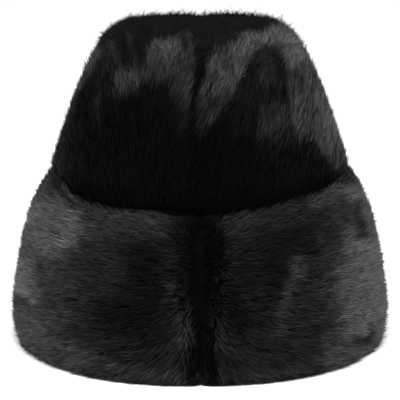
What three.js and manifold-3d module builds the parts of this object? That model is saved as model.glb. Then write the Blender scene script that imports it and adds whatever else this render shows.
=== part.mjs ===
// A black fur hat: a tall tapered crown of two panels and a wide turned-up cuff of two panels.
// Millimetres, +Z up. The front faces -Y, and the origin is centred under the rim that the hat stands on.
// Every level is an oval, longer from front to back as a head is. The fur is a body with rows of low
// overlapping locks fused to it, and the crown's body is hollow for the head.
import * as THREE from 'three';
import { mergeVertices } from 'three/addons/utils/BufferGeometryUtils.js';
import Module from 'manifold-3d';

const wasm = await Module();
wasm.setup();
const { clamp, degToRad, lerp, radToDeg, smoothstep } = THREE.MathUtils;

// Driving dimensions
const hatHeight = 206;
const crestHeight = 113; // of the cuff
const hemHeight = 7.6; // of the cuff's turned-in hem, which carries the crown's lower edge
const hollowWidth = 164;
const headExtra = 12; // half the length of a level is this much more than half its width
const topRounding = 60; // half width above which a level has the whole headExtra
const squareness = { low: 2.1, high: 2.6, from: 130, to: 200 }; // an ellipse is 2, and the top is squarer
const seamGap = 0.5; // between two panels
const seatGap = 0.4; // between the cuff and the crown
const lockInset = 1.4; // the body lies this far under the outline of the fur
const beyond = 50; // how far a cutting body runs past what it cuts

// How finely each body is drawn.
const detail = {
  crown: { levels: 16, columns: 40 },
  cuff: { levels: 13, columns: 52 },
  hollow: { levels: 12, columns: 28 },
  rim: { columns: 40 },
};

// Half width of the fur's outline at each height, from the lower edge to the middle of the top.
const crownOutline = [
  { height: hemHeight + seatGap, halfWidth: 88 },
  { height: 60, halfWidth: 89.5 },
  { height: 98, halfWidth: 94 },
  { height: 113, halfWidth: 96.2 },
  { height: 128, halfWidth: 91.8 },
  { height: 150, halfWidth: 84.6 },
  { height: 172, halfWidth: 76 },
  { height: 187, halfWidth: 68 },
  { height: 197, halfWidth: 59.5 },
  { height: 203, halfWidth: 48.5 },
  { height: 205.3, halfWidth: 34 },
  { height: hatHeight, halfWidth: 0 },
];

// The hollow that a head goes into.
const hollowOutline = [
  { height: -beyond, halfWidth: hollowWidth / 2 },
  { height: 60, halfWidth: hollowWidth / 2 },
  { height: 112, halfWidth: hollowWidth / 2 },
  { height: 132, halfWidth: 78 },
  { height: 152, halfWidth: 71 },
  { height: 171, halfWidth: 62 },
  { height: 184, halfWidth: 50 },
  { height: 191, halfWidth: 32 },
  { height: 193, halfWidth: 0 },
];

// The cuff's outside, from the flat that it stands on up to its crest.
const cuffOutline = [
  { height: 0, halfWidth: 116 },
  { height: 3, halfWidth: 118.6 },
  { height: 9, halfWidth: 121 },
  { height: 20, halfWidth: 122.2 },
  { height: 34, halfWidth: 121 },
  { height: 55, halfWidth: 117.8 },
  { height: 80, halfWidth: 112.4 },
  { height: 96, halfWidth: 107.2 },
  { height: 105, halfWidth: 102.4 },
  { height: 110.5, halfWidth: 98 },
  { height: crestHeight, halfWidth: 94.5 },
];

// How far the cuff's crest sags at the front, by degrees round from the seam. The cuff above the given
// height sags with it.
const crestSag = {
  above: 60,
  rows: [
    { around: -72, drop: 0 },
    { around: -57, drop: 6.5 },
    { around: -33, drop: 9 },
    { around: -12, drop: 7 },
    { around: 22, drop: 7 },
    { around: 34, drop: 3.5 },
    { around: 60, drop: 1.5 },
    { around: 78, drop: 0 },
  ],
};

// The rolled inner edge of the rim, from the surface that the hat stands on up through the hem.
const rimOutline = [
  { height: -beyond, halfWidth: 92 },
  { height: 0, halfWidth: 92 },
  { height: 1.4, halfWidth: 87 },
  { height: hemHeight, halfWidth: hollowWidth / 2 + seatGap },
  { height: hemHeight + beyond, halfWidth: hollowWidth / 2 + seatGap },
];

// The groove along a seam: its depth and half width at each height.
const crownGroove = [
  { height: 0, depth: 4.5, halfWidth: 9 },
  { height: 180, depth: 4.5, halfWidth: 9 },
  { height: 203, depth: 1.2, halfWidth: 9 },
];
const cuffGrooves = {
  front: [
    { height: 0, depth: 2, halfWidth: 5 },
    { height: 14, depth: 7, halfWidth: 6 },
    { height: 32, depth: 10, halfWidth: 5 },
    { height: 60, depth: 13, halfWidth: 9 },
    { height: crestHeight, depth: 9, halfWidth: 10 },
  ],
  back: [
    { height: 0, depth: 2, halfWidth: 5 },
    { height: 40, depth: 6, halfWidth: 7 },
    { height: crestHeight, depth: 5, halfWidth: 8 },
  ],
};

// Dents in the cuff, by degrees round from the front.
const cuffDents = [
  { around: 69, height: 90, radius: 9, depth: 4 },
  { around: 63, height: 15, radius: 10, depth: 4 },
  { around: -62, height: 54, radius: 15, depth: 2.5 },
];

// Rows of locks: their middles' share of the way up the outline, their count on each side, and their size.
const crownLocks = [
  { up: 0.5, count: 7, length: 40, width: 34 },
  { up: 0.6, count: 7, length: 42, width: 34 },
  { up: 0.7, count: 6, length: 42, width: 34 },
  { up: 0.82, count: 4, length: 40, width: 34 },
];
const cuffLocks = [
  { up: 0.13, count: 7, length: 52, width: 28 },
  { up: 0.36, count: 7, length: 54, width: 32 },
  { up: 0.6, count: 7, length: 52, width: 31 },
  { up: 0.83, count: 7, length: 46, width: 26 },
];
// A lock's sections from root to tip, as shares of its length and width, and how far its ridge stands up.
const lockSections = [
  { along: 0.3, width: 0.8, ridge: 1.6 },
  { along: 0.7, width: 1, ridge: 2.8 },
];
const lockTipHeight = 1.4;
const lockSunk = 2.2; // its sides and root lie this far inside the body
const lockUnder = 6; // and its underside this far

// Where the fur on the cuff fans out from the front seam: over this width, above and below this height.
const fan = { halfWidth: 45, middle: 56 };

const furFinish = { roughness: 0.55, metalness: 0 };
const materials = {
  crown: new THREE.MeshStandardMaterial({ color: 0x0d0d0e, ...furFinish }),
  cuff: new THREE.MeshStandardMaterial({ color: 0x1b1b1c, ...furFinish }),
};

// The value of a column where the rows' key has this value. The rows are sorted by their key.
function valueAt(rows, key, value, column) {
  const above = rows.findIndex((row) => row[key] >= value);
  if (above === 0) return rows[0][column];
  if (above < 0) return rows[rows.length - 1][column];
  const [low, high] = [rows[above - 1], rows[above]];
  return lerp(low[column], high[column], (value - low[key]) / (high[key] - low[key]));
}

const rounded = (value, power) => Math.sign(value) * Math.abs(value) ** (2 / power);

const halfDepthOf = (halfWidth) => halfWidth + headExtra * Math.min(1, halfWidth / topRounding);

// A point of the level with this half width. The angle is 0 at the front and grows towards +X.
function ovalPoint(halfWidth, height, angle) {
  const power = lerp(squareness.low, squareness.high, smoothstep(height, squareness.from, squareness.to));
  const x = halfWidth * rounded(Math.sin(angle), power);
  const y = -halfDepthOf(halfWidth) * rounded(Math.cos(angle), power);
  return new THREE.Vector3(x, y, height);
}

function grooveDepth(rows, point) {
  const column = (name) => valueAt(rows, 'height', point.z, name);
  return column('depth') * Math.exp(-((point.x / column('halfWidth')) ** 2));
}

const crownRelief = (point) => lockInset + grooveDepth(crownGroove, point);

function cuffRelief(point) {
  let depth = lockInset * smoothstep(point.z, 0, hemHeight);
  depth += grooveDepth(point.y < 0 ? cuffGrooves.front : cuffGrooves.back, point);
  for (const dent of cuffDents) {
    const halfWidth = valueAt(cuffOutline, 'height', dent.height, 'halfWidth');
    const middle = ovalPoint(halfWidth, dent.height, degToRad(dent.around));
    depth += dent.depth * Math.exp(-((point.distanceTo(middle) / dent.radius) ** 2));
  }
  return depth;
}

// How far a point of the cuff sags with the crest.
function cuffSag(height, angle) {
  const around = radToDeg(Math.atan2(Math.sin(angle), Math.cos(angle)));
  return valueAt(crestSag.rows, 'around', around, 'drop') * smoothstep(height, crestSag.above, crestHeight);
}

// A surface over an outline: up runs from 0 to 1 along the outline, and the relief presses it inwards.
function furSurface(rows, relief = () => 0, sag = () => 0) {
  const curve = new THREE.SplineCurve(rows.map((row) => new THREE.Vector2(row.halfWidth, row.height)));
  const small = 1e-3;
  const smooth = (up, angle) => {
    const at = curve.getPointAt(clamp(up, 0, 1));
    return ovalPoint(Math.max(at.x, 0), at.y - sag(at.y, angle), angle);
  };
  const normal = (up, angle) => {
    const rising = smooth(up + small, angle).sub(smooth(up - small, angle));
    const turning = smooth(up, angle + small).sub(smooth(up, angle - small));
    return turning.cross(rising).normalize();
  };
  const point = (up, angle) => {
    const place = smooth(up, angle);
    const depth = relief(place);
    return depth ? place.addScaledVector(normal(up, angle), -depth) : place;
  };
  return { point, normal };
}

// A manifold solid of closed faces, given as corner points, three to a face.
function solidOf(corners) {
  const geometry = mergeVertices(new THREE.BufferGeometry().setFromPoints(corners), 1e-4);
  const index = geometry.index.array;
  const faces = [];
  for (let i = 0; i < index.length; i += 3) {
    const [a, b, c] = index.subarray(i, i + 3);
    if (a !== b && b !== c && c !== a) faces.push(a, b, c);
  }
  const vertProperties = geometry.attributes.position.array;
  return new wasm.Manifold(new wasm.Mesh({ numProp: 3, vertProperties, triVerts: new Uint32Array(faces) }));
}

// A closed body of rings of points, one above the other, each anticlockwise from above.
function ringBody(rings) {
  const corners = [];
  const columns = rings[0].length;
  const sumOf = (ring) => ring.reduce((sum, point) => sum.add(point), new THREE.Vector3());
  const middleOf = (ring) => sumOf(ring).divideScalar(columns);
  const [bottom, top] = [rings[0], rings[rings.length - 1]];
  const [bottomMiddle, topMiddle] = [middleOf(bottom), middleOf(top)];
  for (let i = 0; i < columns; i++) {
    const next = (i + 1) % columns;
    corners.push(bottomMiddle, bottom[next], bottom[i], topMiddle, top[i], top[next]);
    for (let level = 1; level < rings.length; level++) {
      const [low, high] = [rings[level - 1], rings[level]];
      corners.push(low[i], low[next], high[next], low[i], high[next], high[i]);
    }
  }
  return solidOf(corners);
}

// A body under a surface. Its points lie closer together near the seams.
function bodyUnder(surface, { levels, columns }) {
  const seamDraw = 0.22;
  const angles = Array.from({ length: columns }, (_, i) => {
    const even = (i / columns) * 2 * Math.PI;
    return even - seamDraw * Math.sin(2 * even);
  });
  const ring = (up) => angles.map((angle) => surface.point(up, angle));
  const lastLevel = 1 - 1 / (2 * levels);
  return ringBody(Array.from({ length: levels + 1 }, (_, i) => ring((i / levels) * lastLevel)));
}

// A body with straight sides from row to row.
function straightBody(rows, { columns }) {
  const angles = Array.from({ length: columns }, (_, i) => (i / columns) * 2 * Math.PI);
  return ringBody(rows.map((row) => angles.map((angle) => ovalPoint(row.halfWidth, row.height, angle))));
}

// Which way the fur lies on the crown: up the front, back over the top and down the back.
function crownLay(point, normal) {
  const back = smoothstep(point.y / halfDepthOf(crownOutline[0].halfWidth), -0.3, 0.9);
  const onTop = smoothstep(normal.z, 0.35, 0.85);
  const turn = lerp(Math.PI * back, Math.PI / 2, onTop);
  return new THREE.Vector3(0, Math.sin(turn), Math.cos(turn));
}

// On the cuff it lies level, away from the front seam. Near that seam it fans, upwards and downwards.
function cuffLay(point, normal) {
  const level = new THREE.Vector3(0, 0, 1).cross(normal).normalize();
  if (point.x < 0) level.negate();
  const nearSeam = point.y < 0 ? Math.exp(-((point.x / fan.halfWidth) ** 2)) : 0;
  level.z -= (nearSeam * (fan.middle - point.z)) / fan.middle;
  return level;
}

// A step of one millimetre along the fur's lay, in the surface's own up and angle.
function stepAlong(surface, lay, up, angle) {
  const small = 1e-3;
  const normal = surface.normal(up, angle);
  const way = lay(surface.point(up, angle), normal).projectOnPlane(normal).normalize();
  const rising = surface.point(up + small, angle).sub(surface.point(up - small, angle));
  const turning = surface.point(up, angle + small).sub(surface.point(up, angle - small));
  const [rr, rt, tt] = [rising.dot(rising), rising.dot(turning), turning.dot(turning)];
  const [rw, tw] = [rising.dot(way), turning.dot(way)];
  const scale = (2 * small) / (rr * tt - rt * rt);
  return { up: (rw * tt - tw * rt) * scale, angle: (tw * rr - rw * rt) * scale, way, normal };
}

// One lock: a low ridged tongue with a sunk root, that follows the lay and ends in a raised tip.
function lockAt(surface, lay, up, angle, length, width) {
  const steps = 8;
  const place = { up, angle };
  let travelled = 0;
  const walkTo = (distance) => {
    const stride = (distance - travelled) / steps;
    let step = stepAlong(surface, lay, place.up, place.angle);
    for (let i = 0; i < steps; i++) {
      place.up = clamp(place.up + step.up * stride, 0.01, 0.99);
      place.angle += step.angle * stride;
      step = stepAlong(surface, lay, place.up, place.angle);
    }
    travelled = distance;
    return { at: surface.point(place.up, place.angle), ...step };
  };
  const start = walkTo(-length / 2);
  const root = start.at.clone().addScaledVector(start.normal, -lockSunk);
  const [first, last] = lockSections.map((row) => {
    const { at, way, normal } = walkTo((row.along - 0.5) * length);
    const side = normal.clone().cross(way).multiplyScalar((row.width * width) / 2);
    const offset = (across, out) => at.clone().addScaledVector(side, across).addScaledVector(normal, out);
    return [offset(1, -lockSunk), offset(0, row.ridge), offset(-1, -lockSunk), offset(0, -lockUnder)];
  });
  const end = walkTo(length / 2);
  const tip = end.at.clone().addScaledVector(end.normal, lockTipHeight);
  const corners = [];
  for (let i = 0; i < first.length; i++) {
    const next = (i + 1) % first.length;
    corners.push(root, first[next], first[i], last[i], last[next], tip);
    corners.push(first[i], last[next], last[i], first[i], first[next], last[next]);
  }
  return solidOf(corners);
}

// The body with its rows of locks, the same on both sides. Every second row is shifted by half a lock.
function withLocks(body, surface, lay, rows) {
  let furred = body;
  rows.forEach((row, level) => {
    const shift = level % 2 ? 0.25 : 0.75;
    for (let i = 0; i < row.count; i++) {
      const angle = ((i + shift) / row.count) * Math.PI;
      for (const side of [angle, -angle]) {
        furred = furred.add(lockAt(surface, lay, row.up, side, row.length, row.width));
      }
    }
  });
  return furred;
}

// One side of the hat, kept clear of the seam and of the surface that the hat stands on.
function half(whole, side) {
  const reach = 2 * hatHeight;
  const box = new THREE.BoxGeometry(reach, reach, reach).toNonIndexed();
  box.translate(side * (reach / 2 + seamGap / 2), 0, reach / 2);
  const { position } = box.attributes;
  const corner = (_, i) => new THREE.Vector3().fromBufferAttribute(position, i);
  return whole.intersect(solidOf(Array.from({ length: position.count }, corner)));
}

function meshOf(solid, name, material) {
  const { vertProperties, triVerts } = solid.getMesh();
  const geometry = new THREE.BufferGeometry();
  geometry.setAttribute('position', new THREE.BufferAttribute(new Float32Array(vertProperties), 3));
  geometry.setIndex(new THREE.BufferAttribute(new Uint32Array(triVerts), 1));
  geometry.computeVertexNormals();
  const mesh = new THREE.Mesh(geometry, material);
  mesh.name = name;
  return mesh;
}

// The two bodies. The crown's lower edge stands on the cuff's hem, and the cuff wraps the crown.
function crown() {
  const surface = furSurface(crownOutline, crownRelief);
  const body = withLocks(bodyUnder(surface, detail.crown), surface, crownLay, crownLocks);
  return body.subtract(bodyUnder(furSurface(hollowOutline), detail.hollow));
}

function cuff() {
  const surface = furSurface(cuffOutline, cuffRelief, cuffSag);
  const body = withLocks(bodyUnder(surface, detail.cuff), surface, cuffLay, cuffLocks);
  const seatOutline = [{ ...crownOutline[0], height: hemHeight }, ...crownOutline.slice(1)];
  const seat = bodyUnder(furSurface(seatOutline, () => lockInset - seatGap), detail.crown);
  return body.subtract(seat).subtract(straightBody(rimOutline, detail.rim));
}

const hat = new THREE.Group();
hat.name = 'fur_hat';
for (const [name, whole] of Object.entries({ crown: crown(), cuff: cuff() })) {
  hat.add(meshOf(half(whole, -1), `${name}_left`, materials[name]));
  hat.add(meshOf(half(whole, 1), `${name}_right`, materials[name]));
}

export default hat;
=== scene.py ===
import math
from itertools import product

import bpy
import numpy as np
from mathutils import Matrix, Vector


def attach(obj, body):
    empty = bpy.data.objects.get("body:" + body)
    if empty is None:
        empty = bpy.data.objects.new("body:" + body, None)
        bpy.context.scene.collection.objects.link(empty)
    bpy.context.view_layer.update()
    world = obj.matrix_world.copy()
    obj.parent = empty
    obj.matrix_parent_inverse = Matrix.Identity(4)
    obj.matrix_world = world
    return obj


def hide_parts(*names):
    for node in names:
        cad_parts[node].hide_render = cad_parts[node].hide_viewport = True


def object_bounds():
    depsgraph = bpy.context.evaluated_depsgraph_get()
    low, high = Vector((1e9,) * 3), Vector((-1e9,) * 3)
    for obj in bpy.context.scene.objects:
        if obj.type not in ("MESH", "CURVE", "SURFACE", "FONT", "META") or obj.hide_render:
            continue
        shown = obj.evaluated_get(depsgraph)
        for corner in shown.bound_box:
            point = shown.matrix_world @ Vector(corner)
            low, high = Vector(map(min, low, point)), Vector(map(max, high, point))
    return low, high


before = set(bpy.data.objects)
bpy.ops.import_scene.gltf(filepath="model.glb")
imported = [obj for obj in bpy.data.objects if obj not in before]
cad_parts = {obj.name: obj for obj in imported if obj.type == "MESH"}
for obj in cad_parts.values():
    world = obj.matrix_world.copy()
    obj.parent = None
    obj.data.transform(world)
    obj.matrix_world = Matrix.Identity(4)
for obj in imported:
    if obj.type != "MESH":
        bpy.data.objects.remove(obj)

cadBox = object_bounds()
mm = 0.001

hat = {
    "drawnHeight": 206,  # the outlines below are drawn at this height, and fitted to the frame
    "crest": 113,
    "headExtra": 12,  # half the length of a level is this much more than half its width
    "topRounding": 60,
    "square": {"low": 2.1, "high": 2.6, "start": 130, "end": 200},
    "rimRounding": 2,  # the cuff's side starts this far above the floor
    "aboveFloor": 0.2,
}
fit = (cadBox[1].z - cadBox[0].z) / (hat["drawnHeight"] * mm)

crownRows = {
    "height": [8, 60, 98, 113, 128, 150, 172, 187, 197, 203, 205.3, 206],
    "halfWidth": [91, 91.5, 94, 96.2, 91.8, 84.6, 76, 68, 59.5, 48.5, 34, 0],
}
hollowRows = {
    "height": [8, 60, 112, 132, 152, 171, 184, 191, 193],
    "halfWidth": [82, 82, 82, 78, 71, 62, 50, 32, 0],
}
# The cuff's outline starts at the hem, runs out under the rim, and climbs to the crest.
cuffRows = {
    "height": [7.6, 1.4, 0, 0, 0, 3, 9, 20, 34, 55, 80, 96, 105, 110.5, 113],
    "halfWidth": [82.4, 87, 92, 104, 116, 118.6, 121, 122.2, 121, 117.8, 112.4, 107.2, 102.4, 98, 94.5],
}

# The camera looks down a little from the front, and the picture is frameWidth wide at the aim.
view = {"aim": 89.3, "elevation": 13.2, "distance": 2600, "frameWidth": 260, "sensorWidth": 36}

# The grooves along the seams by height, then the dents in the cuff and the sag of its crest. Those are
# placed by degrees round the hat, from the front towards +X.
crownGroove = {"height": [50, 98, 180, 203], "depth": [0, 4.5, 4.5, 1.2], "halfWidth": [9, 9, 9, 9]}
cuffGrooves = {
    "front": {
        "height": [0, 3, 14, 32, 60, 113],
        "depth": [0, 1.5, 7, 10, 13, 9],
        "halfWidth": [5, 5, 6, 5, 9, 10],
    },
    "back": {"height": [0, 40, 113], "depth": [2, 6, 5], "halfWidth": [5, 7, 8]},
}
cuffDents = [
    {"around": 69, "height": 90, "radius": 9, "depth": 4},
    {"around": 63, "height": 15, "radius": 10, "depth": 4},
    {"around": -62, "height": 54, "radius": 15, "depth": 2.5},
]
crestSag = {
    "above": 60,
    "around": [-160, -110, -88, -74, -57, -33, -12, 22, 34, 60, 76, 90, 110, 160],
    "drop": [0, 5.5, 5.5, 1, 6.5, 9, 7, 7, 3.5, 1.5, 0, 4, 4, 0],
}


# Small helpers for arrays of points
tiny, farAway = 1e-9, 1e9


def unit(vectors):
    return vectors / np.maximum(np.linalg.norm(vectors, axis=-1, keepdims=True), tiny)


def dot(a, b):
    return (a * b).sum(-1, keepdims=True)


def flattened(vectors, normals):
    return vectors - normals * dot(vectors, normals)


def smoothStep(value, low, high):
    t = np.clip((value - low) / (high - low), 0, 1)
    return t * t * (3 - 2 * t)


def blend(low, high, share):
    return low + (high - low) * share


def bump(value, middle, halfWidth):
    return np.exp(-(((value - middle) / halfWidth) ** 2))


chance = np.random.default_rng(11).random((4099, 4))  # random numbers for the noise's cells


def randomAt(cells, seed):
    c = cells.astype(np.int64)
    mixed = c[..., 0] * 73856093 ^ c[..., 1] * 19349663 ^ c[..., 2] * 83492791 ^ seed * 6151
    return chance[mixed % len(chance)]


def softNoise(points, size, seed):
    scaled = points / size
    cell = np.floor(scaled)
    share = scaled - cell
    share = share * share * (3 - 2 * share)
    total = np.zeros(len(points))
    for corner in product((0, 1), repeat=3):
        weight = np.where(np.array(corner) > 0, share, 1 - share).prod(-1)
        total += weight * randomAt(cell + corner, seed)[:, 0]
    return total


def nearestLock(points, size, seed):
    # the middle of the lock of hair that each point belongs to, and that lock's own random numbers
    cell = np.floor(points / size)
    best = np.full(len(points), farAway)
    middle, own = np.zeros_like(points), np.zeros((len(points), 4))
    for step in product((-1, 0, 1), repeat=3):
        found = randomAt(cell + step, seed)
        place = (cell + step + found[:, :3]) * size
        away = ((place - points) ** 2).sum(-1)
        closer = away < best
        best = np.where(closer, away, best)
        middle[closer], own[closer] = place[closer], found[closer]
    return middle, own[:, ::-1]


# Outlines and the ovals that they are the half width of
def curveThrough(rows, samples=24):
    points = np.column_stack([rows["halfWidth"], rows["height"]]).astype(float)
    ends = np.vstack([points[:1], points, points[-1:]])
    t = np.linspace(0, 1, samples, endpoint=False)[:, None]
    parts = []
    for a, b, c, d in zip(ends, ends[1:], ends[2:], ends[3:]):
        cubic = (3 * b - a - 3 * c + d) * t**3 + (2 * a - 5 * b + 4 * c - d) * t**2
        parts.append((cubic + (c - a) * t + 2 * b) / 2)
    curve = np.vstack([*parts, points[-1:]])
    curve = np.maximum(curve, 0)
    run = np.concatenate([[0], np.cumsum(np.linalg.norm(np.diff(curve, axis=0), axis=1))])
    return {"halfWidth": curve[:, 0], "height": curve[:, 1], "up": run / run[-1]}


def squarenessAt(height):
    s = hat["square"]
    return blend(s["low"], s["high"], smoothStep(height, s["start"], s["end"]))


def halfDepthOf(halfWidth):
    return halfWidth + hat["headExtra"] * np.minimum(1, halfWidth / hat["topRounding"])


def ovalPoint(halfWidth, height, around):
    power = 2 / squarenessAt(height)
    sine, cosine = np.sin(around), np.cos(around)
    x = halfWidth * np.sign(sine) * np.abs(sine) ** power
    y = -halfDepthOf(halfWidth) * np.sign(cosine) * np.abs(cosine) ** power
    return np.stack([x, y, height + 0 * x], axis=-1)


def ovalThrough(points):
    # the half width of the oval through each point, and how far round it the point is
    x, y = np.abs(points[:, 0]), np.abs(points[:, 1])
    square = squarenessAt(points[:, 2])
    smallest, rounds = 0.5, 12
    halfWidth = np.maximum(np.hypot(x, y), smallest)
    for _ in range(rounds):
        size = ((x / halfWidth) ** square + (y / halfDepthOf(halfWidth)) ** square) ** (1 / square)
        halfWidth = np.maximum(halfWidth * size, smallest)
    across = np.sign(points[:, 0]) * (x / halfWidth) ** (square / 2)
    ahead = -np.sign(points[:, 1]) * (y / halfDepthOf(halfWidth)) ** (square / 2)
    return halfWidth, np.arctan2(across, ahead)


class FurSurface:
    # up runs from 0 to 1 along the outline, around from the front seam towards +X, in radians
    def __init__(self, rows, relief, sag):
        self.curve, self.relief, self.sag = curveThrough(rows), relief, sag

    def smooth(self, up, around):
        up = np.clip(up, 0, 1)
        halfWidth = np.interp(up, self.curve["up"], self.curve["halfWidth"])
        height = np.interp(up, self.curve["up"], self.curve["height"])
        return ovalPoint(halfWidth, height - self.sag(height, around), around)

    def pressed(self, up, around):
        place = self.smooth(up, around)
        normal = self.across(self.smooth, up, around)[0]
        return place - normal * self.relief(place)[:, None]

    def across(self, surface, up, around):
        small, flat = 0.003, 1e-3
        rising = (surface(up + small, around) - surface(up - small, around)) / (2 * small)
        turning = (surface(up, around + small) - surface(up, around - small)) / (2 * small)
        crossed = np.cross(turning, rising)
        crossed[np.linalg.norm(crossed, axis=1) < flat] = (0, 0, 1)  # the very top of the crown
        return unit(crossed), rising, turning

    def at(self, up, around):
        return self.pressed(up, around), self.across(self.pressed, up, around)[0]

    def under(self, points):
        # the place on the surface that lies nearest to each point
        halfWidth, around = ovalThrough(points)
        nearest = np.zeros(len(points), int)
        batch = 8192  # points at a time, to save memory
        for start in range(0, len(points), batch):
            part = slice(start, start + batch)
            width = halfWidth[part, None] - self.curve["halfWidth"]
            height = points[part, 2, None] - self.curve["height"]
            height = height + self.sag(self.curve["height"], around[part, None])
            nearest[part] = (width**2 + height**2).argmin(1)
        return self.curve["up"][nearest], around

    def scatter(self, count, side, share, rng):
        # roots spread evenly over one side, and thinned out by share
        levels, columns = 220, 160
        up = (np.arange(levels) + 0.5) / levels
        around = (np.arange(columns) + 0.5) / columns * math.pi * side
        upGrid, aroundGrid = (grid.ravel() for grid in np.meshgrid(up, around, indexing="ij"))
        normal, rising, turning = self.across(self.smooth, upGrid, aroundGrid)
        weight = np.linalg.norm(np.cross(rising, turning), axis=1)
        weight = weight * share(self.smooth(upGrid, aroundGrid))
        total = np.cumsum(weight)
        picked = np.searchsorted(total, (np.arange(count) + rng.random(count)) / count * total[-1])
        picked = np.minimum(picked, len(total) - 1)
        jitter = rng.random((2, count)) - 0.5
        return upGrid[picked] + jitter[0] / levels, aroundGrid[picked] + jitter[1] * math.pi / columns


def grooveDepth(rows, points):
    deep, wide = (np.interp(points[:, 2], rows["height"], rows[key]) for key in ("depth", "halfWidth"))
    return deep * bump(points[:, 0], 0, wide)


def crownRelief(points):
    return grooveDepth(crownGroove, points)


def cuffRelief(points):
    front, back = (grooveDepth(cuffGrooves[name], points) for name in ("front", "back"))
    depth = np.where(points[:, 1] < 0, front, back)
    outline = curveThrough(cuffRows)
    outside = outline["height"] > hat["rimRounding"]
    for dent in cuffDents:
        halfWidth = np.interp(dent["height"], outline["height"][outside], outline["halfWidth"][outside])
        middle = ovalPoint(halfWidth, dent["height"], math.radians(dent["around"]))
        depth += dent["depth"] * bump(np.linalg.norm(points - middle, axis=1), 0, dent["radius"])
    return depth


def cuffSag(height, around):
    around = np.degrees(np.arctan2(np.sin(around), np.cos(around)))
    drop = np.interp(around, crestSag["around"], crestSag["drop"])
    return drop * smoothStep(height, crestSag["above"], hat["crest"])


def level(height, around):
    return 0 * (height + around)


def noDepth(points):
    return np.zeros(len(points))


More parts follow.
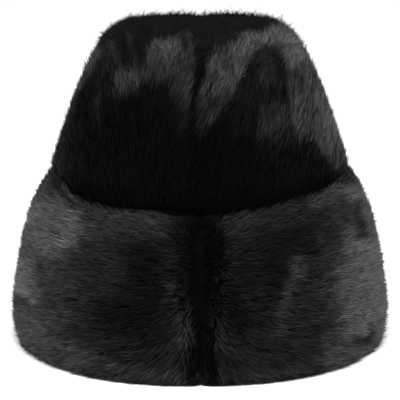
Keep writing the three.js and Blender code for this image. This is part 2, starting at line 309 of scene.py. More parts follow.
# Painted sheen and painted shade: how light the fur looks, from 0 to 1, in patches on the plane that
# faces the camera. The light patches are painted highlights of the fur's sheen, and the dark ones,
# as in the crease, the seam, the dents, the top and the lower crown, are painted shade. Each outline
# is in millimetres from the frame's centre, to the right and up. A later patch covers an earlier one,
# and soft is how far its edge fades to either side.
crownSheenAndShadePatches = {
    "left of the crown": {
        "tone": 0.15, "soft": 12,
        "outline": [(-110, 60), (-62, 60), (-60, 0), (-110, 0)],
    },
    "upper left": {
        "tone": 0.25, "soft": 3,
        "outline": [
            (-66, 101), (-62, 107), (-51, 115), (-43, 117), (-44, 110), (-51, 105), (-52, 91),
            (-57, 81), (-59, 68), (-66, 68), (-70, 75), (-73, 75), (-68, 90),
        ],
    },
    "dark left edge": {
        "tone": 0.12, "soft": 2, "jagged": 2,
        "outline": [(-79, 75), (-71, 77), (-70, 68), (-71.5, 52), (-83, 51), (-82, 62)],
    },
    "faint left strip": {
        "tone": 0.31, "soft": 1.5, "jagged": 2,
        "outline": [(-69.5, 77), (-66, 78), (-65.5, 65), (-67, 53), (-71, 52), (-70, 63)],
    },
    "left haze": {
        "tone": 0.2, "soft": 5,
        "outline": [(-88, 50), (-76, 52), (-74, 40), (-82, 22), (-98, 24)],
    },
    "haze above the cuff": {
        "tone": 0.36, "soft": 5,
        "outline": [(-100, 34), (-90, 34), (-86, 16), (-96, 10), (-104, 16)],
    },
    # painted shade on the lower crown, which catches no sheen
    "lowest middle": {
        "tone": 0.1, "soft": 10,
        "outline": [(-14, 44), (40, 44), (50, 10), (40, -14), (-30, -14), (-20, 10)],
    },
    "lower right": {
        "tone": 0.17, "soft": 6,
        "outline": [(35, 40), (80, 40), (84, 24), (60, 16), (36, 24)],
    },
    # painted shade on the top, which catches no sheen
    "top": {
        "tone": 0.135, "soft": 4,
        "outline": [
            (-62, 106), (-48, 116), (-40, 126), (0, 132), (44, 128), (52, 116), (50, 112), (28, 108),
            (26, 104), (8, 98), (5, 88), (0, 78), (-3, 96), (-5, 108), (-13, 110), (-24, 105),
            (-34, 100), (-36, 90), (-46, 88), (-54, 92),
        ],
    },
    "dark lock upper left": {
        "tone": 0.11, "soft": 1.5, "jagged": 1.5,
        "outline": [(-51, 104), (-45, 101), (-45, 91), (-48, 88), (-52, 92)],
    },
    "second dark lock": {
        "tone": 0.1, "soft": 1.5, "jagged": 1.5,
        "outline": [(-43.5, 112), (-32.5, 110.5), (-34, 102), (-37, 93.5), (-40, 91), (-43, 99)],
    },
    "light strands upper left": {
        "tone": 0.33, "soft": 1.5, "jagged": 1.5,
        "outline": [(-58.5, 103), (-55, 101), (-51, 91), (-51, 86), (-55, 84.5), (-57, 92)],
    },
    "light strand between the dark locks": {
        "tone": 0.31, "soft": 1, "jagged": 1,
        "outline": [
            (-48, 108.5), (-45, 107), (-43.5, 97.5), (-40, 92), (-41.5, 89), (-45, 91), (-46, 99),
        ],
    },
    "upper left edge": {
        "tone": 0.55, "soft": 2, "jagged": 2,
        "outline": [
            (-72, 104), (-64, 101), (-68, 90), (-73.5, 78), (-78, 69.5), (-86, 69.5), (-82, 84),
        ],
    },
    "lower left edge": {
        "tone": 0.3, "soft": 2, "jagged": 2,
        "outline": [(-88, 70), (-79, 70), (-83, 56), (-88, 40), (-91, 28), (-102, 24), (-94, 56)],
    },
    "left sheen": {
        "tone": 0.5, "soft": 1.5, "jagged": 3,
        "outline": [
            (-58.5, 68), (-57, 78), (-55, 84.5), (-51, 87), (-41.5, 87), (-37, 89.5), (-35, 97.5),
            (-33, 102.5), (-30, 104.5), (-22, 106), (-17.5, 106.5), (-14, 110), (-10, 110),
            (-6.5, 108), (-6, 103.5), (-4.5, 99), (-2, 89.5), (-3, 79), (-4.5, 67.5), (-6.5, 60),
            (-11.5, 62.5), (-15, 65.5), (-19, 71.5), (-22, 76.5), (-30, 78), (-37.5, 77.5), (-40, 73),
            (-44, 70), (-51, 67.5),
        ],
    },
    "left part of the left sheen": {
        "tone": 0.58, "soft": 4,
        "outline": [(-56, 70), (-44, 72), (-42, 86), (-54, 86)],
    },
    "brightest left sheen": {
        "tone": 0.58, "soft": 4,
        "outline": [(-30, 102), (-18, 104), (-16, 92), (-24, 88), (-32, 90)],
    },
    "dark lock in the left sheen": {
        "tone": 0.14, "soft": 1.2, "jagged": 1,
        "outline": [(-14, 109), (-8, 105.5), (-7, 100), (-10, 97), (-12, 102)],
    },
    "faint tail of the left sheen": {
        "tone": 0.24, "soft": 3,
        "outline": [(-18, 68), (-6, 62), (-4, 46), (-10, 42), (-16, 50)],
    },
    "right sheen": {
        "tone": 0.62, "soft": 2, "jagged": 3.5,
        "outline": [
            (2, 78), (4, 90), (8, 97), (17, 99.5), (24, 102.5), (30, 109), (39, 110), (49, 112),
            (52, 104), (51, 99), (44, 100), (38, 100), (35, 94), (31, 87), (26, 77), (22, 68),
            (17, 62), (10, 53), (5, 48), (1, 43), (-1, 51), (0, 65), (-2, 70),
        ],
    },
    "lower right sheen": {
        "tone": 0.42, "soft": 4,
        "outline": [(-2, 68), (22, 68), (17, 60), (10, 52), (2, 43), (-1, 51)],
    },
    "middle right": {
        "tone": 0.25, "soft": 4,
        "outline": [
            (27, 77), (36, 84), (38, 70), (58, 68), (56, 61), (37, 58), (34, 46), (24, 42), (18, 55),
        ],
    },
    "right side": {
        "tone": 0.65, "soft": 2.5,
        "outline": [
            (51, 120), (51, 108), (52, 100), (58, 90), (57, 80), (59, 70), (59, 52), (64, 40),
            (74, 42), (79, 33), (88, 23), (98, 16), (118, 16), (110, 60), (78, 114),
        ],
    },
    "bright right shoulder": {
        "tone": 0.76, "soft": 4,
        "outline": [(51, 104), (58, 101), (65, 90), (59, 87)],
    },
    # a weaker painted sheen
    "less sheen at the tip of the right shoulder": {
        "tone": 0.42, "soft": 2, "jagged": 1.5,
        "outline": [(52, 114), (60, 114), (63, 106), (58, 105), (53, 106)],
    },
    # a weaker painted sheen
    "less sheen at the right edge": {
        "tone": 0.54, "soft": 3,
        "outline": [(85, 52), (96, 52), (103, 18), (91, 22), (88, 36)],
    },
    "bright right edge": {
        "tone": 0.79, "soft": 4,
        "outline": [(78, 66), (86, 66), (90, 42), (82, 40)],
    },
    # a weaker painted sheen
    "less sheen on the right shoulder": {
        "tone": 0.45, "soft": 3,
        "outline": [(57, 84), (76, 80), (76, 75), (58, 76)],
    },
    "low right sheen": {
        "tone": 0.44, "soft": 3,
        "outline": [(38, 60), (55, 63), (60, 52), (61, 40), (40, 38), (37, 46)],
    },
    "dark blob": {
        "tone": 0.33, "soft": 2.5,
        "outline": [(38, 97), (43, 97), (50, 90), (56, 79), (53, 70), (40, 70), (36, 84)],
    },
    "edge of the dark blob": {
        "tone": 0.2, "soft": 2,
        "outline": [(50, 90), (55, 80), (54, 72), (49, 74)],
    },
    # painted shade in the groove along the seam
    "seam": {
        "tone": 0.1, "soft": 1, "jagged": 0,
        "outline": [(1, 96), (5, 96), (2, 80), (-2, 70), (-4, 44), (-7, 44), (-5, 70), (-1, 80)],
    },
}
# painted sheen and painted shade on the cuff, in the same kind of patches
cuffSheenAndShadePatches = {
    "left fold": {
        "tone": 0.42, "soft": 4,
        "outline": [(-110, 8), (-96, 24), (-78, 8), (-76, -4), (-90, -2), (-104, -2)],
    },
    # painted shade in the fold
    "dark line in the left fold": {
        "tone": 0.24, "soft": 1.2, "jagged": 1,
        "outline": [(-98, 18), (-94, 18), (-84, 2), (-80, -4), (-83, -5), (-89, 2), (-97, 11)],
    },
    "light edge of the left fold": {
        "tone": 0.62, "soft": 0.8, "jagged": 0,
        "outline": [(-96, 20), (-93, 20), (-83, 4), (-79, -1), (-81, -2), (-86, 3)],
    },
    "around the upper left": {
        "tone": 0.49, "soft": 7,
        "outline": [
            (-130, -6), (-100, 4), (-78, -6), (-76, -24), (-82, -38), (-80, -52), (-86, -88),
            (-130, -88),
        ],
    },
    "upper left": {
        "tone": 0.76, "soft": 5,
        "outline": [
            (-128, -4), (-104, -1), (-92, 0), (-76, -8), (-77, -24), (-86, -34), (-100, -38),
            (-130, -40),
        ],
    },
    "left edge": {
        "tone": 0.77, "soft": 4,
        "outline": [(-130, -30), (-110, -34), (-107, -48), (-106, -64), (-112, -62), (-130, -54)],
    },
    "light fold at the left edge": {
        "tone": 0.96, "soft": 1.5, "jagged": 1,
        "outline": [(-122, -50), (-117, -52), (-107, -66), (-109, -69), (-122, -56)],
    },
    # painted shade under the fold
    "under the fold at the left edge": {
        "tone": 0.47, "soft": 2.5, "jagged": 1,
        "outline": [(-126, -60), (-118, -60), (-110, -72), (-110, -86), (-116, -95), (-128, -95)],
    },
    # a weaker painted sheen
    "less sheen at the left edge": {
        "tone": 0.58, "soft": 2.5,
        "outline": [(-118, -12), (-109, -13), (-112, -38), (-123, -40)],
    },
    "lower left": {
        "tone": 0.65, "soft": 8,
        "outline": [(-130, -66), (-108, -70), (-92, -88), (-70, -100), (-60, -116), (-130, -116)],
    },
    "upper band left": {
        "tone": 0.47, "soft": 5,
        "outline": [(-77, -4), (-20, -8), (-20, -26), (-76, -26)],
    },
    "middle of the left": {
        "tone": 0.36, "soft": 9,
        "outline": [(-74, -30), (-48, -28), (-46, -54), (-70, -84), (-84, -70)],
    },
    "dark left": {
        "tone": 0.2, "soft": 8,
        "outline": [(-46, -30), (-24, -28), (-22, -92), (-40, -94), (-70, -82), (-70, -68), (-50, -62)],
    },
    "left of the crease": {
        "tone": 0.36, "soft": 3,
        "outline": [(-22, -12), (-8, -12), (-7, -50), (-22, -50)],
    },
    "bright left of the crease": {
        "tone": 0.5, "soft": 2,
        "outline": [(-22, -53), (-8, -53), (-6, -66), (-22, -66)],
    },
    "strands left of the crease": {
        "tone": 0.5, "soft": 3,
        "outline": [(-18, -72), (-6, -68), (-1, -78), (-2, -96), (-8, -102), (-14, -96)],
    },
    "upper band right": {
        "tone": 0.38, "soft": 5,
        "outline": [(10, -10), (58, -10), (62, -20), (40, -24), (12, -24)],
    },
    "right of the crease": {
        "tone": 0.29, "soft": 6,
        "outline": [(12, -26), (44, -26), (44, -84), (16, -84)],
    },
    "dark right of the crease": {
        "tone": 0.17, "soft": 4,
        "outline": [(17, -56), (24, -62), (32, -76), (32, -92), (24, -90), (18, -76)],
    },
    "dark upper right": {
        "tone": 0.21, "soft": 6,
        "outline": [(42, -22), (78, -10), (76, -34), (60, -40), (56, -56), (50, -66), (44, -60)],
    },
    "light hairs along the right crest": {
        "tone": 0.5, "soft": 3,
        "outline": [(70, 0), (82, 8), (92, 12), (94, 4), (84, -3), (72, -6)],
    },
    "top right": {
        "tone": 0.7, "soft": 4,
        "outline": [(92, 8), (99, 12), (112, 10), (112, 0), (96, 0)],
    },
    "upper right": {
        "tone": 0.4, "soft": 5,
        "outline": [(88, -2), (112, -2), (112, -22), (90, -22)],
    },
    "beside the right band": {
        "tone": 0.42, "soft": 7,
        "outline": [(80, -26), (92, -26), (92, -92), (80, -92)],
    },
    "right band": {
        "tone": 0.79, "soft": 6, "jagged": 6,
        "outline": [
            (98, -18), (93, -32), (89, -50), (88, -60), (92, -74), (91, -88), (97, -94), (130, -94),
            (130, -20), (106, -22), (102, -14),
        ],
    },
    # painted shade in a dent
    "dent above the right band": {
        "tone": 0.36, "soft": 3,
        "outline": [(100, -12), (110, -12), (110, -24), (102, -24)],
    },
    "light right edge": {
        "tone": 0.64, "soft": 2, "jagged": 2,
        "outline": [(103, 0), (112, 0), (118, -22), (111, -23), (106, -10)],
    },
    # painted shade in a dent
    "dent under the right band": {
        "tone": 0.28, "soft": 3,
        "outline": [(100, -90), (108, -88), (112, -86), (111, -97), (102, -99)],
    },
    "lower right": {
        "tone": 0.67, "soft": 6,
        "outline": [(80, -92), (104, -95), (126, -88), (120, -120), (76, -116)],
    },
    "wisp": {
        "tone": 0.57, "soft": 1.2, "jagged": 1,
        "outline": [(60, -36), (69, -37), (69, -52), (60, -52)],
    },
    "tail of the wisp": {
        "tone": 0.52, "soft": 0.8, "jagged": 0.3,
        "outline": [(59, -49), (64, -51), (58, -74), (55, -90), (51, -88), (52, -74), (55, -60)],
    },
    "left part of the rim": {
        "tone": 0.54, "soft": 4,
        "outline": [
            (-62, -104), (-36, -110), (-12, -113), (-8, -128), (-40, -128), (-84, -128), (-78, -110),
        ],
    },
    "right part of the rim": {
        "tone": 0.46, "soft": 4,
        "outline": [(14, -114), (36, -112), (60, -108), (76, -104), (84, -112), (70, -128), (12, -128)],
    },
    "strands right of the crease": {
        "tone": 0.38, "soft": 3,
        "outline": [(7, -72), (14, -72), (22, -90), (20, -104), (12, -100), (8, -90)],
    },
    # painted shade in the crease
    "crease": {
        "tone": 0.12, "soft": 2, "jagged": 2.5,
        "outline": [
            (-7, 0), (9, 0), (9, -16), (13, -26), (12.5, -36), (8, -49), (7, -58), (5.5, -72),
            (5.5, -90), (8.5, -101), (12, -110), (11, -124), (-7, -124), (-8, -110), (-5, -101),
            (-1, -90), (-1, -76), (-3, -66), (-5, -58), (-5.5, -49), (-7.5, -36), (-7.5, -26),
        ],
    },
    "hairs across the foot of the crease": {
        "tone": 0.26, "soft": 2,
        "outline": [(-5, -112), (6, -112), (7, -124), (-6, -124)],
    },
}


# Which way the hair lies
def crownLay(points, normals):
    # up the front, back over the top and down behind, leaning to the right in front
    combed = crown["combing"]
    left, right = combed["leftOfSeam"], combed["rightOfSeam"]
    back = smoothStep(points[:, 1], *combed["downBehind"])
    onTop = smoothStep(normals[:, 2], *combed["overTop"])
    turn = blend(math.pi * back, math.pi / 2, onTop)
    x, z = points[:, 0], points[:, 2]
    lean = combed["lean"] + left["lean"] * bump(x, left["x"], left["halfWidth"])
    beside = bump(x, right["x"], right["halfWidth"]) * bump(z, right["z"], right["halfHeight"])
    lean += right["lean"] * beside
    return np.stack([lean * np.cos(turn), np.sin(turn), np.cos(turn)], axis=-1)


def cuffLay(points, normals):
    # level and away from the front seam, fanning out from its middle, and combed down beside its foot
    combed = cuff["combing"]
    way = np.stack([-normals[:, 1], normals[:, 0], 0 * normals[:, 0]], axis=-1)
    way = unit(way) * np.where(points[:, :1] > 0, 1, -1)
    x, y, z = points.T
    above = (z - combed["middle"]) / combed["middle"]
    fan = combed["fan"] * above * bump(x, 0, combed["fanWidth"])
    fan -= combed["down"] * smoothStep(-above, *combed["downBelow"]) * bump(x, 0, combed["downWidth"])
    way[:, 2] += np.where(y < 0, fan, 0)
    return way


# Where the hair stands loose, from 0 to 1, and how far its tips rise
def crownLoose(points, normals):
    return smoothStep(normals[:, 2], *crown["looseTop"])


def crownRise(points, normals):
    # full and tufted at the shoulders, and pressed flat on the top, more so left of the seam
    shoulder, top = crown["shoulder"], crown["top"]
    tufts = shoulder["tufts"] * (2 * softNoise(points, shoulder["tuftSize"], shoulder["seed"]) - 1)
    press = top["press"] + top["dent"] * bump(points[:, 0], top["dentX"], top["dentHalfWidth"])
    full = (shoulder["rise"] + tufts) * smoothStep(normals[:, 2], *shoulder["facingUp"])
    return full - press * smoothStep(normals[:, 2], *top["facingUp"])


def cuffRise(points, normals):
    # full along its edges, and spread on the floor a little left of the crease
    foot = cuff["foot"]
    x, y, z = points.T
    spread = (1 - smoothStep(z, *foot["height"])) * bump(x, foot["x"], foot["halfWidth"]) * (y < 0)
    return cuff["edgeRise"] * cuffLoose(points, normals) + foot["rise"] * spread


def cuffLoose(points, normals):
    edges = cuff["looseEdges"]
    z = points[:, 2]
    crest = smoothStep(z + cuffSag(z, ovalThrough(points)[1]), *edges["crestHeight"])
    foot = 1 - smoothStep(z, *edges["footHeight"])
    return np.maximum(edges["crest"] * crest, edges["foot"] * foot)


crown = {
    "hairs": 60000,
    "length": 11,
    "width": 0.5,
    "skin": 6.5,  # the skin lies this far under the outline of the fur
    "tips": (-1.6, 1.6),
    "guardShare": 0.16,  # a few hairs stand out further
    "guardRise": 2.8,
    "guardLoose": 0.5,
    "looseTurn": 25,
    "looseTop": (0.35, 0.9),  # from where to where the hair gets loose, by how far the fur faces up
    "shoulder": {"rise": 2.2, "facingUp": (0.5, 0.85), "tufts": 1.6, "tuftSize": 5, "seed": 21},
    "top": {"press": 4.8, "facingUp": (0.93, 0.99), "dent": 2.2, "dentX": -20, "dentHalfWidth": 18},
    "combing": {
        "lean": 0.1,
        "leftOfSeam": {"lean": 0.18, "x": -20, "halfWidth": 32},
        "rightOfSeam": {"lean": 0.45, "x": 9, "halfWidth": 13, "z": 165, "halfHeight": 22},
        "overTop": (0.35, 0.85),  # by how far the fur faces up
        "downBehind": (-30, 90),  # by how far back it is
    },
    "hairFrom": 96,  # the cuff hides the crown below this height
    "besideCrease": {"halfWidth": 20, "from": 45},
    "lock": 5.5,  # the size of a lock of hair, whose hairs draw together by clump
    "clump": 0.55,
    "lockTurn": 14,
    "hairTurn": 10,
    "roll": 50,
    "strand": 2.6,
    "streak": 1.3,
    "streakVary": 0.3,
    "vary": 0.2,
    "mottle": [(18, 0.12), (5, 0.2)],  # size and strength of lighter and darker clumps
    "slot": "crown_fur",
    "lay": crownLay,
    "loose": crownLoose,
    "rise": crownRise,
    "seed": 3,
    "tone": 0.13,
    "patches": crownSheenAndShadePatches,
    "jagged": 5,  # how far strands carry a patch's tone over its outline
    "sway": 7,  # how far the patches' edges wander up and down near the silhouette
    "cloud": 42,  # the size of the sheens where the camera doesn't see
    "cloudShape": (1, 1, 0.7),  # the clouds are drawn out where this is less than 1
    "cloudTones": (0.15, 0.68),
    # painted sheen on the crown's shoulder and painted shade low by the cuff and on the top, by height
    "sheenAndShadeHeight": [120, 150, 178, 192, 200],
    "sheenAndShadeMore": [-0.22, 0, 0.14, 0.1, -0.15],
}
cuff = {
    "hairs": 61000,
    "length": 9.5,
    "width": 0.52,
    "skin": 6.5,
    "tips": (-1.6, 1.6),
    "guardShare": 0.16,  # a few hairs stand out further
    "guardRise": 2.8,
    "guardLoose": -0.15,
    "looseTurn": 25,
    "looseEdges": {"crest": 0.6, "crestHeight": (104, 112), "foot": 0.5, "footHeight": (1, 10)},
    "edgeRise": 2.2,
    "foot": {"rise": 3.5, "height": (2, 14), "x": -48, "halfWidth": 34},
    "combing": {
        "middle": 56,
        "fan": 0.6,
        "fanWidth": 55,
        "down": 1.1,
        "downWidth": 24,
        "downBelow": (0.05, 0.5),  # under the middle, as shares of its height
    },
    "crestSkin": {"depth": 1.6, "from": 88},
    "underRim": {"depth": 1.5, "below": 1.5, "hairBelow": 0.8, "hairShare": 0.45},
    "lock": 4.6,
    "clump": 0.3,
    "lockTurn": 14,
    "hairTurn": 10,
    "roll": 50,
    "strand": 2.6,
    "streak": 1.3,
    "streakVary": 0.14,
    "vary": 0.15,
    "mottle": [(18, 0.06), (5, 0.12)],  # size and strength of lighter and darker clumps
    "slot": "cuff_fur",
    "lay": cuffLay,
    "loose": cuffLoose,
    "rise": cuffRise,
    "seed": 7,
    "tone": 0.34,
    "patches": cuffSheenAndShadePatches,
    "jagged": 4,
    "sway": 8,
    "cloud": 55,
    "cloudShape": (1, 1, 0.45),
    "cloudTones": (0.34, 0.82),
    "sheenAndShadeHeight": [0, 113],
    "sheenAndShadeMore": [0, 0],
}


def crownShare(points):
    # no hair where the cuff hides it, except beside the crease at the front
    x, y, z = points.T
    crease = crown["besideCrease"]
    beside = (np.abs(x) < crease["halfWidth"]) & (y < 0) & (z > crease["from"])
    return np.where((z > crown["hairFrom"]) | beside, 1.0, 0.0)


def cuffShare(points):
    rim = cuff["underRim"]
    return np.where(points[:, 2] < rim["hairBelow"], rim["hairShare"], 1.0)


def crownSkin(points):
    return np.full(len(points), float(crown["skin"]))


def cuffSkin(points):
    # the fur is thinner towards the crest and under the rim
    z, crest, rim = points[:, 2], cuff["crestSkin"], cuff["underRim"]
    high = blend(cuff["skin"], crest["depth"], smoothStep(z, crest["from"], hat["crest"]))
    return np.where(z < rim["below"], rim["depth"], high)


def seen(points):
    # where a point is in the picture, in millimetres from the frame's centre
    slope = math.radians(view["elevation"])
    x, y, z = (points * fit).T
    z = z - view["aim"]
    up = z * math.cos(slope) + y * math.sin(slope)
    nearer = z * math.sin(slope) - y * math.cos(slope)
    return np.stack([x, up], axis=-1) / (1 - nearer / view["distance"])[:, None]


def insidePatch(points, outline, soft):
    corners = np.array(outline, float)
    inside, nearest = np.zeros(len(points), bool), np.full(len(points), farAway)
    for a, b in zip(corners, np.roll(corners, -1, axis=0)):
        edge = b - a
        along = np.clip((points - a) @ edge / (edge @ edge), 0, 1)[:, None]
        nearest = np.minimum(nearest, np.linalg.norm(points - a - along * edge, axis=1))
        if edge[1]:
            crossing = a[0] + (points[:, 1] - a[1]) * edge[0] / edge[1]
            inside ^= ((a[1] > points[:, 1]) != (b[1] > points[:, 1])) & (points[:, 0] < crossing)
    return smoothStep(np.where(inside, nearest, -nearest), -soft, soft)


# Shared by both panels. How far the fur faces the camera runs from -1, away from it, to 1.
toneRules = {
    "swaySize": 16,
    "swayFades": (0.15, 0.5),
    "cloudEdges": (0.38, 0.68),
    "patchesFrom": (-0.28, 0.02),  # clouds give way to patches between these
    "range": (0.02, 0.98),
}
hairShape = {
    "lengths": (0.8, 1.2),
    "lockShare": 0.5,  # how much of a tip's height its lock decides
    "leastRise": 0.3,  # the least share of the panel's rise that a hair takes
    "middleHeight": 0.62,
    "middleDrawn": 0.4,
    "rootWidth": 0.8,
    "lockVary": 0.1,
}
blade = {"along": (0.02, 0.5, 0.98), "edge": 0.004}  # its map: along the blade, and from edge to edge


def panelTone(points, normals, way, own, look):
    # the tone at a hair's root, middle and tip: painted sheen and painted shade from the patches
    # and clouds, with lighter and darker clumps
    # strands that reach over a patch's outline give it ragged edges
    slope = math.radians(view["elevation"])
    facing = normals[:, 2] * math.sin(slope) - normals[:, 1] * math.cos(slope)
    runs = np.array([0, 0.5, 1])[:, None] * look["length"]
    stations = points + way * runs[:, :, None]
    # towards the sides the patches' edges wander up and down, so that they don't end in straight lines
    sway = look["sway"] * (2 * softNoise(points, toneRules["swaySize"], look["seed"] + 5) - 1)
    sway = sway * (1 - smoothStep(facing, *toneRules["swayFades"]))
    swayed = stations + sway[:, None] * (0, 0, 1)
    tone = np.full(stations.shape[:2], float(look["tone"]))
    for patch in look["patches"].values():
        shift = patch.get("jagged", look["jagged"]) * (2 * own[:, 2] - 1)
        places = seen((swayed + way * shift[:, None]).reshape(-1, 3))
        share = insidePatch(places, patch["outline"], patch["soft"]).reshape(tone.shape)
        tone = blend(tone, patch["tone"], share)
    # where the camera doesn't see, the same kind of sheens lie in soft clouds
    drift = way * (look["jagged"] * (2 * own[:, 2] - 1))[:, None]
    places = ((stations + drift) * look["cloudShape"]).reshape(-1, 3)
    cloudy = softNoise(places, look["cloud"], look["seed"]).reshape(tone.shape)
    # more painted sheen or painted shade by height
    cloudy = cloudy + np.interp(points[:, 2], look["sheenAndShadeHeight"], look["sheenAndShadeMore"])
    elsewhere = blend(*look["cloudTones"], smoothStep(cloudy, *toneRules["cloudEdges"]))
    tone = blend(elsewhere, tone, smoothStep(facing, *toneRules["patchesFrom"]))
    for size, strength in look["mottle"]:
        tone = tone * (1 + strength * (2 * softNoise(stations[1], size, look["seed"] + 2) - 1))
    return tone


def growHair(surface, skin, share, look, side):
    rng = np.random.default_rng(look["seed"] * 10 + side)
    up, around = surface.scatter(look["hairs"], side, share, rng)
    root, normal = surface.at(up, around)
    middle, own = nearestLock(root, look["lock"], look["seed"])
    way = unit(flattened(look["lay"](root, normal), normal))
    across = np.cross(normal, way)
    loose = look["loose"](root, normal)
    jitter = (look["hairTurn"] + look["looseTurn"] * loose) * rng.standard_normal(len(up))
    turn = np.radians(look["lockTurn"] * (2 * own[:, 0] - 1) + jitter)
    way = way * np.cos(turn)[:, None] + across * np.sin(turn)[:, None]
    across = np.cross(normal, way)
    length = look["length"] * blend(*hairShape["lengths"], rng.random(len(up)))[:, None]
    sideways = across * dot(middle - root, across) * look["clump"]
    tipHeight = blend(*look["tips"], blend(rng.random(len(up)), own[:, 1], hairShape["lockShare"]))
    tipHeight += look["rise"](root, normal) * blend(hairShape["leastRise"], 1, rng.random(len(up)))
    guard = rng.random(len(up)) < look["guardShare"]
    tipHeight += look["guardRise"] * guard * rng.random(len(up)) * (1 + look["guardLoose"] * loose)
    depth = skin(root)
    middleHeight = blend(-depth, tipHeight, hairShape["middleHeight"])
    stops = ((0, -depth, 0), (0.5, middleHeight, hairShape["middleDrawn"]), (1, tipHeight, 1))
    path = []
    for run, height, drawn in stops:
        place, out = surface.at(*surface.under(root + way * length * run)) if run else (root, normal)
        path.append(place + out * height[:, None] + sideways * drawn)
    strand = nearestLock(root, look["strand"], look["seed"] + 1)[1]
    streak = nearestLock(root, look["streak"], look["seed"] + 4)[1][:, 3]
    vary = hairShape["lockVary"] * (2 * own[:, 3] - 1) + look["streakVary"] * (2 * streak - 1)
    vary += look["vary"] * rng.standard_normal(len(up))
    tone = np.clip(panelTone(root, normal, way, strand, look) * (1 + vary), *toneRules["range"])
    return ribbons(path, normal, look, tone, rng)


def ribbons(path, normal, look, tone, rng):
    # a flat blade for each hair: two points at the root, two at the middle and one at the tip
    lower, middle, tip = path
    way = unit(tip - lower)
    across = unit(np.cross(normal, way))
    roll = np.radians(look["roll"]) * (2 * rng.random(len(tip)) - 1)[:, None]
    half = (across * np.cos(roll) + np.cross(way, across) * np.sin(roll)) * look["width"] / 2
    narrow = half * hairShape["rootWidth"]
    points = np.stack([lower - narrow, lower + narrow, middle - half, middle + half, tip], axis=1)
    first = np.arange(len(tip))[:, None] * 5
    faces = np.concatenate([first + [0, 1, 3], first + [0, 3, 2], first + [2, 3, 4]], axis=1).reshape(-1, 3)
    stop = [0, 0, 1, 1, 2]  # root, root, middle, middle, tip
    edge = blade["edge"] * np.array([-1, 1, -1, 1, 0])
    along = np.broadcast_to(np.array(blade["along"])[stop], (len(tip), len(stop)))
    uv = np.stack([tone[stop].T + edge, along], axis=-1)
    return points.reshape(-1, 3), faces, uv.reshape(-1, 2)


def sheet(surface, depth, levels, columns, side):
    # the skin itself, a grid of points pressed in from the fur's outline
    up = np.repeat(np.linspace(0, 1, levels + 1), columns + 1)
    around = np.tile(np.linspace(0, math.pi * side, columns + 1), levels + 1)
    place, normal = surface.at(up, around)
    points = place - normal * depth(place)[:, None]
    points[:, 0] = side * np.maximum(points[:, 0] * side, 0)
    points[:, 2] = np.maximum(points[:, 2], hat["aboveFloor"])
    corner = (np.arange(levels)[:, None] * (columns + 1) + np.arange(columns)).ravel()
    quads = np.stack([corner, corner + 1, corner + columns + 2, corner + columns + 1], axis=1)
    return points, quads[:, ::side]


def addMesh(name, points, faces, material, uv=None):
    points = points * fit * mm
    points[:, 2] = np.maximum(points[:, 2], hat["aboveFloor"] * mm)
    mesh = bpy.data.meshes.new(name)
    mesh.from_pydata(points.tolist(), [], faces)
    mesh.polygons.foreach_set("use_smooth", np.ones(len(mesh.polygons), bool))
    if uv is not None:
        corners = np.empty(len(mesh.loops), np.int32)
        mesh.loops.foreach_get("vertex_index", corners)
        mesh.uv_layers.new(name="OFBake").data.foreach_set("uv", uv[corners].ravel())
    mesh.materials.append(material)
    mesh.update()
    piece = bpy.data.objects.new(name, mesh)
    bpy.context.scene.collection.objects.link(piece)
    return piece


sheets = {
    "furGrid": (40, 36),
    "hollowGrid": (30, 30),
    "overRoots": 0.4,  # the skin covers the roots of the hair
    "skinTone": 0.05,
}


def addFurPanel(node, surface, skin, share, look, side, material):
    points, quads = sheet(surface, lambda at: skin(at) - sheets["overRoots"], *sheets["furGrid"], side)
    hairPoints, hairFaces, hairUv = growHair(surface, skin, share, look, side)
    skinUv = np.tile([sheets["skinTone"], blade["along"][0]], (len(points), 1))
    skinUv = skinUv + blade["edge"] * np.random.default_rng(1).random((len(points), 2))
    piece = addMesh(
        node + "_fur",
        np.vstack([points, hairPoints]),
        quads.tolist() + (hairFaces + len(points)).tolist(),
        material,
        np.vstack([skinUv, hairUv]),
    )
    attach(piece, "root")
    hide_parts(node)
    print(f"{piece.name}: {len(hairFaces) + 2 * len(quads)} triangles")
    return piece


# Materials
class Socket:
    def __init__(self, shader, output):
        self.shader, self.output = shader, output

    def join(self, operation, first, second):
        return self.shader.node("ShaderNodeMath", {"operation": operation}, {0: first, 1: second})

    def __add__(self, other):
        return self.join("ADD", self, other)

    def __sub__(self, other):
        return self.join("SUBTRACT", self, other)

    def __rsub__(self, other):
        return self.join("SUBTRACT", other, self)

    def __mul__(self, other):
        return self.join("MULTIPLY", self, other)

    def __pow__(self, other):
        return self.join("POWER", self, other)

    def __rpow__(self, other):
        return self.join("POWER", other, self)

    __radd__, __rmul__ = __add__, __mul__


class Shader:
    def __init__(self, name):
        self.material = bpy.data.materials.new(name)
        self.material.use_nodes = True
        self.tree = self.material.node_tree
        self.tree.nodes.clear()

    def node(self, kind, settings=None, inputs=None, output=0):
        made = self.tree.nodes.new(kind)
        for key, value in (settings or {}).items():
            setattr(made, key, value)
        for key, value in (inputs or {}).items():
            if isinstance(value, Socket):
                self.tree.links.new(value.output, made.inputs[key])
            else:
                made.inputs[key].default_value = value
        return Socket(self, made.outputs[output]) if len(made.outputs) else None

    def mixed(self, share, first, second):
        # a Mix node's colours are its inputs 6 and 7, and its output 2
        return self.node("ShaderNodeMix", {"data_type": "RGBA"}, {0: share, 6: first, 7: second}, 2)

    def finish(self, **inputs):
        surface = self.node("ShaderNodeBsdfPrincipled", None, inputs)
        self.node("ShaderNodeOutputMaterial", None, {"Surface": surface})
        return self.material


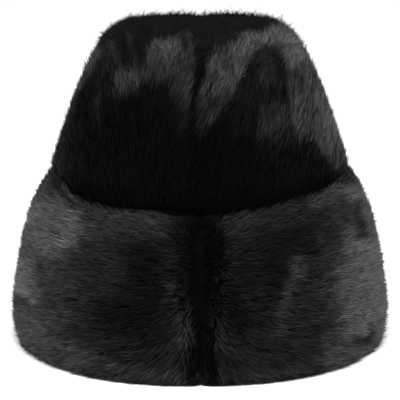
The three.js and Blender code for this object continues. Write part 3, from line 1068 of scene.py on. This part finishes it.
furLook = {
    # the light colour shows where the painted sheen is brightest
    "light": (0.1, 0.1, 0.103, 1),  # the colour of the lightest hairs
    "dark": (0, 0, 0, 1),
    "contrast": 2.2,
    "darkest": 0.02,
    "rootShade": 0.5,
    "roughDark": 0.7,
    "roughLight": 0.4,
    "specular": 0.02,
    "coat": 0.4,
    "coatRoughness": 0.35,
}


def furMaterial(name):
    # along is 0 at a hair's root and 1 at its tip
    shader = Shader(name)
    uv = shader.node("ShaderNodeUVMap", {"uv_map": "OFBake"})
    tone = shader.node("ShaderNodeSeparateXYZ", None, {0: uv}, "X")
    along = shader.node("ShaderNodeSeparateXYZ", None, {0: uv}, "Y")
    share = tone ** furLook["contrast"] * (1 - furLook["rootShade"] * (1 - along))
    share = share + furLook["darkest"]
    # the base colour carries the tone's painted sheen and painted shade
    color = shader.mixed(share, furLook["dark"], furLook["light"])
    surface = {
        "Base Color": color,
        "Roughness": furLook["roughDark"] + tone * (furLook["roughLight"] - furLook["roughDark"]),
        "Specular IOR Level": furLook["specular"],
        "Coat Weight": tone * tone * furLook["coat"],
        "Coat Roughness": furLook["coatRoughness"],
    }
    return shader.finish(**surface)


peltLook = {
    "dark": (0.012, 0.011, 0.011, 1),
    "light": (0.03, 0.028, 0.027, 1),
    "clouds": {"Scale": 40, "Detail": 2},
    "grain": {"Scale": 900, "Detail": 3},
    "grainRelief": {"Strength": 0.5, "Distance": 0.0004},
    "rough": 0.85,
    "roughVary": 0.1,
}


def peltMaterial(name):
    shader = Shader(name)
    place = shader.node("ShaderNodeTexCoord", None, None, "Object")
    grain = shader.node("ShaderNodeTexNoise", None, {"Vector": place, **peltLook["grain"]}, "Fac")
    cloudy = shader.node("ShaderNodeTexNoise", None, {"Vector": place, **peltLook["clouds"]}, "Fac")
    surface = {
        "Base Color": shader.mixed(cloudy, peltLook["dark"], peltLook["light"]),
        "Roughness": peltLook["rough"] + peltLook["roughVary"] * grain,
        "Normal": shader.node("ShaderNodeBump", None, {**peltLook["grainRelief"], "Height": grain}),
    }
    return shader.finish(**surface)


crownSurface = FurSurface(crownRows, crownRelief, level)
cuffSurface = FurSurface(cuffRows, cuffRelief, cuffSag)
hollowSurface = FurSurface(hollowRows, noDepth, level)
fur = furMaterial("blackFur")
pelt = peltMaterial("pelt")
print("materials made")
for name, side in (("left", -1), ("right", 1)):
    addFurPanel("crown_" + name, crownSurface, crownSkin, crownShare, crown, side, fur)
    addFurPanel("cuff_" + name, cuffSurface, cuffSkin, cuffShare, cuff, side, fur)
    points, quads = sheet(hollowSurface, noDepth, *sheets["hollowGrid"], side)
    inside = addMesh(f"crown_{name}_pelt", points, quads[:, ::-1].tolist(), pelt)
    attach(inside, "root")
    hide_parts("crown_" + name)
print("panels made")

# Studio: a wide pale floor, soft lights, and a long lens a little above the hat
studio = {
    "floorColor": (0.9, 0.9, 0.9, 1),
    "floorRoughness": 0.7,
    "floorReach": 10,  # metres
    "worldColor": (1, 1, 1, 1),
    "worldLight": 0.75,
    "lightsAim": 100,
}
lights = [
    {"name": "overhead", "size": (900, 600), "power": 30, "azimuth": 0, "elevation": 66, "distance": 1500},
    {"name": "sideLeft", "size": (500, 900), "power": 8, "azimuth": -80, "elevation": 25, "distance": 1500},
    {"name": "sideRight", "size": (500, 900), "power": 8, "azimuth": 80, "elevation": 25, "distance": 1500},
]


def placeAround(azimuth, elevation, distance, aim):
    a, e = math.radians(azimuth), math.radians(elevation)
    back = Vector((math.sin(a) * math.cos(e), -math.cos(a) * math.cos(e), math.sin(e)))
    return aim + back * distance * mm, (-back).to_track_quat("-Z", "Y")


def addLight(name, size, power, azimuth, elevation, distance):
    data = bpy.data.lights.new(name, "AREA")
    data.shape, data.energy = "RECTANGLE", power
    data.size, data.size_y = size[0] * mm, size[1] * mm
    light = bpy.data.objects.new(name, data)
    light.rotation_mode = "QUATERNION"
    aim = Vector((0, 0, studio["lightsAim"] * mm))
    light.location, light.rotation_quaternion = placeAround(azimuth, elevation, distance, aim)
    bpy.context.scene.collection.objects.link(light)


def addFloor():
    paint = Shader("floor").finish(
        **{"Base Color": studio["floorColor"], "Roughness": studio["floorRoughness"]}
    )
    mesh = bpy.data.meshes.new("floor")
    reach = studio["floorReach"]
    mesh.from_pydata([(x, y, 0) for x, y in product((-reach, reach), repeat=2)], [], [(0, 2, 3, 1)])
    mesh.materials.append(paint)
    floor = bpy.data.objects.new("floor", mesh)
    bpy.context.scene.collection.objects.link(floor)


addFloor()
for light in lights:
    addLight(**light)

world = bpy.data.worlds.new("studio")
world.use_nodes = True
background = world.node_tree.nodes["Background"]
background.inputs["Color"].default_value = studio["worldColor"]
background.inputs["Strength"].default_value = studio["worldLight"]
bpy.context.scene.world = world
bpy.context.scene.view_settings.view_transform = "Standard"

camera = bpy.data.objects.new("camera", bpy.data.cameras.new("camera"))
camera.data.sensor_width = view["sensorWidth"]
camera.data.lens = view["sensorWidth"] * view["distance"] / view["frameWidth"]
camera.data.clip_end = 100  # metres
camera.rotation_mode = "QUATERNION"
aim = Vector((0, 0, view["aim"] * mm))
camera.location, camera.rotation_quaternion = placeAround(0, view["elevation"], view["distance"], aim)
bpy.context.scene.collection.objects.link(camera)
bpy.context.scene.camera = camera
print("studio made")
